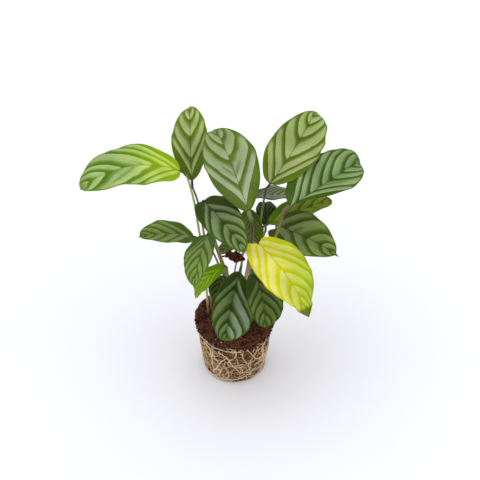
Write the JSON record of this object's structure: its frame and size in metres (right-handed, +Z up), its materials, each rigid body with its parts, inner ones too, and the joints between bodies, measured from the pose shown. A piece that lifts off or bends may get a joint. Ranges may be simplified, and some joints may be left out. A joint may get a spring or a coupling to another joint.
{
  "type": "ctenanthe plant on its bare root ball",
  "caption": "Leafy houseplant with fishbone-striped oval leaves on thin stalks, standing on a bare, tapered, pot-shaped root ball of peat woven with pale roots.",
  "frame": {"origin": "centre of the root ball's flat foot, on the surface it stands on", "axes": "+Z up along the root ball's axis, -Y towards the open side that the best leaves face, +X to the right seen from there"},
  "size_m": [0.3462, 0.2444, 0.3703],
  "materials": {
    "peat": "matte",
    "root": "matte",
    "leaf_dark": "satin",
    "leaf_silver": "satin",
    "leaf_light": "satin",
    "leaf_lime": "satin",
    "leaf_bright": "satin",
    "leaf_yellow": "satin",
    "leaf_dead": "matte",
    "stalk": "satin",
    "dry_stalk": "matte"
  },
  "bodies": {
    "root": {"root_ball": "peat", "root_01": "root", "root_02": "root", "root_03": "root", "root_04": "root", "root_05": "root", "root_06": "root", "root_07": "root", "root_08": "root", "root_09": "root", "root_10": "root", "root_11": "root", "root_12": "root", "far_left_leaf": "leaf_lime", "far_left_leaf_stalk": "stalk", "upper_left_leaf": "leaf_silver", "upper_left_leaf_stalk": "stalk", "centre_leaf": "leaf_silver", "centre_leaf_stalk": "stalk", "upper_right_leaf": "leaf_light", "upper_right_leaf_stalk": "stalk", "right_leaf": "leaf_silver", "right_leaf_stalk": "stalk", "front_left_leaf": "leaf_dark", "front_left_leaf_stalk": "stalk", "small_left_leaf": "leaf_dark", "small_left_leaf_stalk": "stalk", "lower_left_leaf": "leaf_dark", "lower_left_leaf_stalk": "stalk", "lime_leaf": "leaf_bright", "lime_leaf_stalk": "stalk", "leaf_behind_lime_leaf": "leaf_dark", "leaf_behind_lime_leaf_stalk": "stalk", "lower_centre_leaf": "leaf_dark", "lower_centre_leaf_stalk": "stalk", "lower_right_leaf": "leaf_dark", "lower_right_leaf_stalk": "stalk", "yellow_leaf": "leaf_yellow", "yellow_leaf_stalk": "stalk", "dark_right_leaf": "leaf_dark", "dark_right_leaf_stalk": "stalk", "back_leaf": "leaf_silver", "back_leaf_stalk": "stalk", "leaf_under_right_leaf": "leaf_light", "leaf_under_right_leaf_stalk": "stalk", "back_centre_leaf": "leaf_dark", "back_centre_leaf_stalk": "stalk", "banded_leaf": "leaf_dark", "banded_leaf_stalk": "stalk", "small_hidden_leaf": "leaf_dark", "small_hidden_leaf_stalk": "stalk", "dead_leaf": "leaf_dead", "dead_leaf_stalk": "dry_stalk"}
  },
  "joints": []
}
